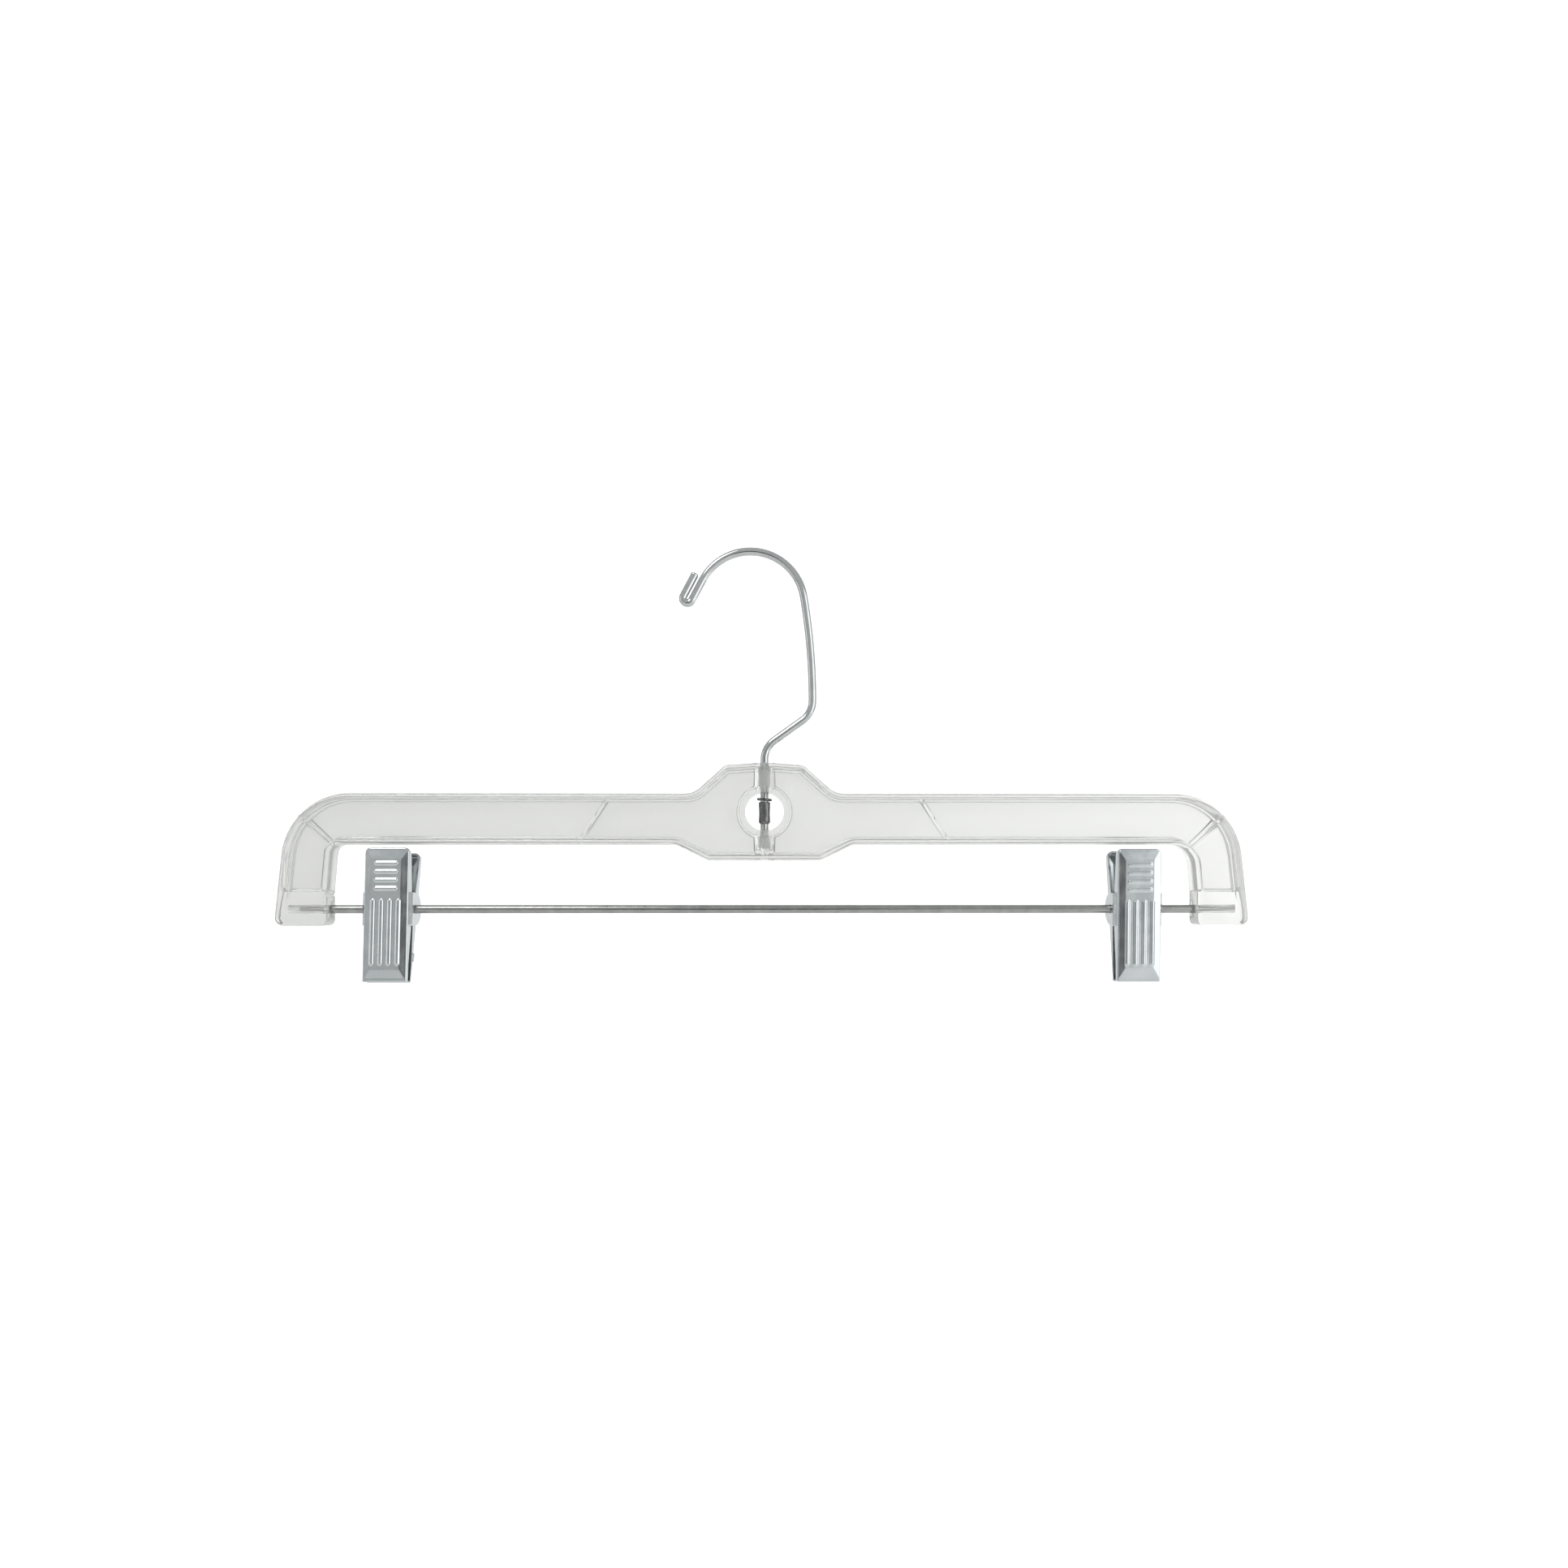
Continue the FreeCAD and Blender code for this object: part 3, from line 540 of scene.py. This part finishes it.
    rows, columns = border.shape[:2]
    i, j = np.meshgrid(np.arange(rows), np.arange(columns - 1), indexing="ij")
    a = i * columns + j
    b = (i + 1) % rows * columns + j
    wall_faces = np.stack([a, a + 1, b + 1, b], axis=-1).reshape(-1, 4)
    keep = ~inside.ravel()[wall_faces].all(axis=1)
    wall_faces = wall_faces[keep] + face.size // 3
    points = np.concatenate([face.reshape(-1, 3), border.reshape(-1, 3)])
    return points, faces.tolist() + wall_faces.tolist()


def turn_about_bar(points, angle):
    """Turns points about the bar's axis, the X axis: y cos - z sin, y sin + z cos."""
    y = points[..., 1] * math.cos(angle) - points[..., 2] * math.sin(angle)
    z = points[..., 1] * math.sin(angle) + points[..., 2] * math.cos(angle)
    return np.stack([points[..., 0], y, z], axis=-1)


def zinc_plate():
    """Zinc plating on pressed sheet: cool grey, slightly cloudy, with fine rolling lines and small scuffs."""
    material = bpy.data.materials.new("zinc_plate")
    material.use_nodes = True
    nodes = material.node_tree.nodes
    links = material.node_tree.links
    shader = nodes["Principled BSDF"]
    shader.inputs["Metallic"].default_value = 1.0
    place = nodes.new("ShaderNodeTexCoord")
    cloud = nodes.new("ShaderNodeTexNoise")
    cloud.inputs["Scale"].default_value = 170
    cloud.inputs["Detail"].default_value = 5
    links.new(place.outputs["Object"], cloud.inputs["Vector"])
    rolled = nodes.new("ShaderNodeMapping")
    rolled.inputs["Scale"].default_value = (2600, 2600, 90)
    links.new(place.outputs["Object"], rolled.inputs["Vector"])
    lines = nodes.new("ShaderNodeTexNoise")
    lines.inputs["Scale"].default_value = 1
    lines.inputs["Detail"].default_value = 3
    links.new(rolled.outputs["Vector"], lines.inputs["Vector"])
    shade = nodes.new("ShaderNodeMix")
    shade.data_type = "RGBA"
    shade.inputs["A"].default_value = (0.50, 0.535, 0.55, 1)
    shade.inputs["B"].default_value = (0.68, 0.70, 0.71, 1)
    links.new(cloud.outputs["Fac"], shade.inputs["Factor"])
    links.new(shade.outputs["Result"], shader.inputs["Base Color"])
    both = nodes.new("ShaderNodeMath")
    both.operation = "MULTIPLY_ADD"
    both.inputs[1].default_value = 0.5
    links.new(lines.outputs["Fac"], both.inputs[0])
    links.new(cloud.outputs["Fac"], both.inputs[2])
    polish = nodes.new("ShaderNodeMapRange")
    polish.inputs["From Min"].default_value = 0.5
    polish.inputs["From Max"].default_value = 1.0
    polish.inputs["To Min"].default_value = 0.13
    polish.inputs["To Max"].default_value = 0.28
    links.new(both.outputs["Value"], polish.inputs["Value"])
    links.new(polish.outputs["Result"], shader.inputs["Roughness"])
    bump = nodes.new("ShaderNodeBump")
    bump.inputs["Strength"].default_value = 0.35
    bump.inputs["Distance"].default_value = 0.000008
    links.new(both.outputs["Value"], bump.inputs["Height"])
    links.new(bump.outputs["Normal"], shader.inputs["Normal"])
    return material


def pressed_piece(name, points, faces, clip, back):
    """Puts a skin in place on its clip and gives it the sheet's thickness, with the cut edges a little
    softened. A back jaw is turned half round the clip's upright middle line."""
    points = turn_about_bar(points, jaw_lean)
    if back:
        points = points * [-1, -1, 1]
    points = turn_about_bar(points, clip_tilt[clip])
    points = points + [clip_x * (1 if clip == "right" else -1), 0, bar_z]
    piece = lay_mesh(name, points, faces, zinc)
    wall = piece.modifiers.new("sheet", "SOLIDIFY")
    wall.thickness = sheet
    wall.offset = -1
    soften = piece.modifiers.new("cut_edges", "BEVEL")
    soften.width = 0.00009
    soften.segments = 2
    soften.limit_method = "ANGLE"
    soften.angle_limit = math.radians(60)
    return piece


zinc = zinc_plate()
front_skin = pan_skin(ear_radius=0.0059, ear_step=0.00115, lug_rise=0)
back_skin = pan_skin(ear_radius=0.0044, ear_step=-0.00075, lug_rise=0.0006)
for clip in ("left", "right"):
    for jaw, skin in (("front", front_skin), ("back", back_skin)):
        node = clip + "_" + jaw + "_jaw"
        pan = pressed_piece(node + "_pressing", skin[0], skin[1], clip, jaw == "back")
        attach(pan, clip + "_" + jaw)
        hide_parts(node)

# Torsion springs: hard-drawn wire wound round the bar inside each clip. Its two straight ends run up behind
# the handles and push them apart, which shuts the jaws. The coil turns with the back jaw.

def spring_lines(leg_top_y, leg_top_z, radius, coils, pitch):
    """Centreline of the coil, a helix about the bar, and of its two legs. Each leg runs from its top to the
    point where a line from there just touches the coil, which is acos(radius / distance) round from it."""
    reach = math.hypot(leg_top_y, leg_top_z)
    foot = math.atan2(leg_top_z, leg_top_y) - math.acos(radius / reach)
    angle = np.linspace(math.pi - foot, 2 * math.pi * coils + foot, 36 * coils)
    half = pitch * (angle[-1] - angle[0]) / (4 * math.pi)
    x = np.linspace(-half, half, len(angle))
    coil = np.stack([x, radius * np.cos(angle), radius * np.sin(angle)], axis=1)
    out = coil * [0, 1, 1]
    share = np.linspace(0, 1, 40)[:, None]
    front = np.array([-half, -leg_top_y, leg_top_z]) * (1 - share) + coil[0] * share
    back = np.array([half, leg_top_y, leg_top_z]) * (1 - share) + coil[-1] * share
    return coil, out, front, back


spring_wire = drawn_metal("spring_wire", bright=(0.34, 0.34, 0.35, 1), dull=(0.48, 0.47, 0.46, 1),
                          smooth=0.18, rough=0.35, streak_depth=0.000012)
spring_radius = 0.0005
leg_gap = 0.0003
coil_play = 0.00035
leg_z = 0.0165
leg_y = (jaw_reach - sheet) / math.cos(jaw_lean) + leg_z * math.tan(jaw_lean) - spring_radius - leg_gap
coil, coil_out, front_leg, back_leg = spring_lines(
    leg_y, leg_z, radius=bar_radius + coil_play + spring_radius, coils=5, pitch=0.00115)
leg_side = np.tile([1.0, 0.0, 0.0], (len(front_leg), 1))
for clip in ("left", "right"):
    place = [clip_x * (1 if clip == "right" else -1), 0, bar_z]
    for part, line, across, body_name in (("coil", coil, coil_out, clip + "_back"),
                                          ("front_leg", front_leg, leg_side, clip + "_front"),
                                          ("back_leg", back_leg, leg_side, clip + "_back")):
        turned = turn_about_bar(line, clip_tilt[clip]) + place
        piece = round_wire(clip + "_spring_" + part, turned, turn_about_bar(across, clip_tilt[clip]),
                           spring_radius, spring_wire, around=16, end_round=0.0002)
        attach(piece, body_name)
        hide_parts(clip + "_spring")

# Body: one moulding in clear, glossy plastic. An I-shaped arm widens to the hub in the middle and
# turns down into two solid end blocks.

def clear_plastic():
    """Clear plastic with a slightly milky body: four fifths passes light and the rest scatters it. Its polish
    varies a little, and the surface has the slow ripple of moulded plastic."""
    material = bpy.data.materials.new("clear_plastic")
    material.use_nodes = True
    nodes = material.node_tree.nodes
    links = material.node_tree.links
    shader = nodes["Principled BSDF"]
    shader.inputs["Base Color"].default_value = (0.94, 0.94, 0.925, 1)
    shader.inputs["Transmission Weight"].default_value = 0.80
    shader.inputs["IOR"].default_value = 1.52
    place = nodes.new("ShaderNodeTexCoord")
    flow = nodes.new("ShaderNodeTexNoise")
    flow.inputs["Scale"].default_value = 45
    flow.inputs["Detail"].default_value = 2
    links.new(place.outputs["Object"], flow.inputs["Vector"])
    polish = nodes.new("ShaderNodeMapRange")
    polish.inputs["To Min"].default_value = 0.03
    polish.inputs["To Max"].default_value = 0.08
    links.new(flow.outputs["Fac"], polish.inputs["Value"])
    links.new(polish.outputs["Result"], shader.inputs["Roughness"])
    bump = nodes.new("ShaderNodeBump")
    bump.inputs["Strength"].default_value = 0.12
    bump.inputs["Distance"].default_value = 0.0004
    links.new(flow.outputs["Fac"], bump.inputs["Height"])
    links.new(bump.outputs["Normal"], shader.inputs["Normal"])
    return material


body_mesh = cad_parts["hanger_body"].data.copy()
work = bmesh.new()
work.from_mesh(body_mesh)
bmesh.ops.remove_doubles(work, verts=work.verts, dist=1e-6)
work.to_mesh(body_mesh)
work.free()
body_mesh.materials.clear()
body_mesh.materials.append(clear_plastic())
body_mesh.polygons.foreach_set("use_smooth", np.full(len(body_mesh.polygons), True))
body_mesh.set_sharp_from_angle(angle=math.radians(35))
body = bpy.data.objects.new("clear_body", body_mesh)
scene.collection.objects.link(body)
weigh = body.modifiers.new("flat_faces_first", "WEIGHTED_NORMAL")
weigh.keep_sharp = True
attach(body, "hanger")
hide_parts("hanger_body")

# Room: one pale sweep of card that is both floor and backdrop, evenly lit, inside a light tent. A grey card
# and a small dark one stand out of sight by the camera, so that the metals have something darker to reflect.

def stage_card(name, points, faces, colour, glow=0.0, seen_glow=0.0):
    """A matt card. It glows a little by itself, and seen_glow more where it is looked at directly, so that
    the ground is clean white while the plastic and the metals pick up a softer grey."""
    paint = bpy.data.materials.new(name)
    paint.use_nodes = True
    nodes = paint.node_tree.nodes
    shader = nodes["Principled BSDF"]
    shader.inputs["Base Color"].default_value = (colour, colour, colour, 1)
    shader.inputs["Roughness"].default_value = 0.9
    shader.inputs["Emission Color"].default_value = (1, 1, 1, 1)
    seen = nodes.new("ShaderNodeLightPath")
    strength = nodes.new("ShaderNodeMath")
    strength.operation = "MULTIPLY_ADD"
    strength.inputs[1].default_value = seen_glow
    strength.inputs[2].default_value = glow
    paint.node_tree.links.new(seen.outputs["Is Camera Ray"], strength.inputs[0])
    paint.node_tree.links.new(strength.outputs["Value"], shader.inputs["Emission Strength"])
    mesh = bpy.data.meshes.new(name)
    mesh.from_pydata(points, [], faces)
    mesh.materials.append(paint)
    mesh.polygons.foreach_set("use_smooth", np.full(len(mesh.polygons), True))
    card = bpy.data.objects.new(name, mesh)
    scene.collection.objects.link(card)
    return card


def upright(x0, x1, y, z0, z1):
    """Corners of an upright rectangle."""
    return [(x0, y, z0), (x1, y, z0), (x1, y, z1), (x0, y, z1)]


floor_z = -0.36
sweep_half_width = 1.15
sweep_radius = 0.5
sweep_turn = np.linspace(0, math.pi / 2, 17)
sweep_y = np.concatenate([[-2.1], 0.4 + sweep_radius * np.sin(sweep_turn), [0.9]])
sweep_z = floor_z + np.concatenate([[0], sweep_radius * (1 - np.cos(sweep_turn)), [1.9]])
sweep = np.stack([np.repeat([[-sweep_half_width, sweep_half_width]], len(sweep_y), axis=0),
                  np.repeat(sweep_y[:, None], 2, axis=1), np.repeat(sweep_z[:, None], 2, axis=1)], axis=-1)
first = np.arange(len(sweep_y) - 1) * 2
sweep_faces = np.stack([first, first + 1, first + 3, first + 2], axis=1).tolist()
stage_card("backdrop", sweep.reshape(-1, 3).tolist(), sweep_faces, 0.55, glow=0.29, seen_glow=0.45)
one_face = [(0, 1, 2, 3)]
grey_card = stage_card("grey_card", upright(-1.25, 0.02, -0.8, -0.34, 0.25), one_face, 0.60)
dark_card = stage_card("dark_card", upright(-0.16, 0.12, -0.7, -0.32, 0.02), one_face, 0.14)
for card in (grey_card, dark_card):
    card.visible_camera = False
    card.visible_transmission = False

world = bpy.data.worlds.new("light_tent")
world.use_nodes = True
tent = world.node_tree.nodes["Background"]
tent.inputs["Color"].default_value = (0.60, 0.62, 0.62, 1)
looked_at = world.node_tree.nodes.new("ShaderNodeLightPath")
# Twice as bright to the camera, so that past the backdrop's edge the ground is white too
tent_glow = world.node_tree.nodes.new("ShaderNodeMath")
tent_glow.operation = "MULTIPLY_ADD"
tent_glow.inputs[1].default_value = 1.0
tent_glow.inputs[2].default_value = 1.0
world.node_tree.links.new(looked_at.outputs["Is Camera Ray"], tent_glow.inputs[0])
world.node_tree.links.new(tent_glow.outputs["Value"], tent.inputs["Strength"])
scene.world = world


def soft_box(name, place, target, width, height, power):
    """A rectangular lamp at place, facing target. It isn't seen through the plastic."""
    light = bpy.data.lights.new(name, "AREA")
    light.shape = "RECTANGLE"
    light.size = width
    light.size_y = height
    light.energy = power
    lamp = bpy.data.objects.new(name, light)
    lamp.location = place
    direction = np.array(target) - np.array(place)
    yaw = math.atan2(-direction[0], direction[1])
    pitch = math.atan2(direction[2], math.hypot(direction[0], direction[1]))
    lamp.rotation_euler = (math.pi / 2 + pitch, 0, yaw)
    lamp.visible_transmission = False
    scene.collection.objects.link(lamp)
    return lamp


soft_box("key_box", (-0.45, -0.6, 0.8), (0, 0, -0.1), width=0.5, height=0.3, power=3)
soft_box("front_box", (1.05, -0.8, 0.05), (0.1, 0, -0.1), width=1.1, height=1.1, power=4.5)
soft_box("left_box", (-1.5, -0.35, 0.1), (-0.1, 0, -0.1), width=0.3, height=1.0, power=1.2)
side_box = soft_box("side_box", (1.4, 0.1, 0.4), (0.3, 0.9, -0.1), width=0.6, height=1.2, power=19)
side_box.visible_glossy = False

# The camera stands at arm's length, level, a little above the bar and turned a touch to the right
camera = bpy.data.cameras.new("camera")
camera.sensor_width = 36.0
camera.lens = 24.29
camera.shift_x = 0.0032
camera.shift_y = 0.0590
camera.clip_start = 0.01
eye = bpy.data.objects.new("camera", camera)
eye.location = (0, -0.390, bar_z + 0.012)
eye.rotation_euler = (math.pi / 2, 0, -0.0137)
scene.collection.objects.link(eye)
scene.camera = eye
scene.view_settings.view_transform = "Standard"
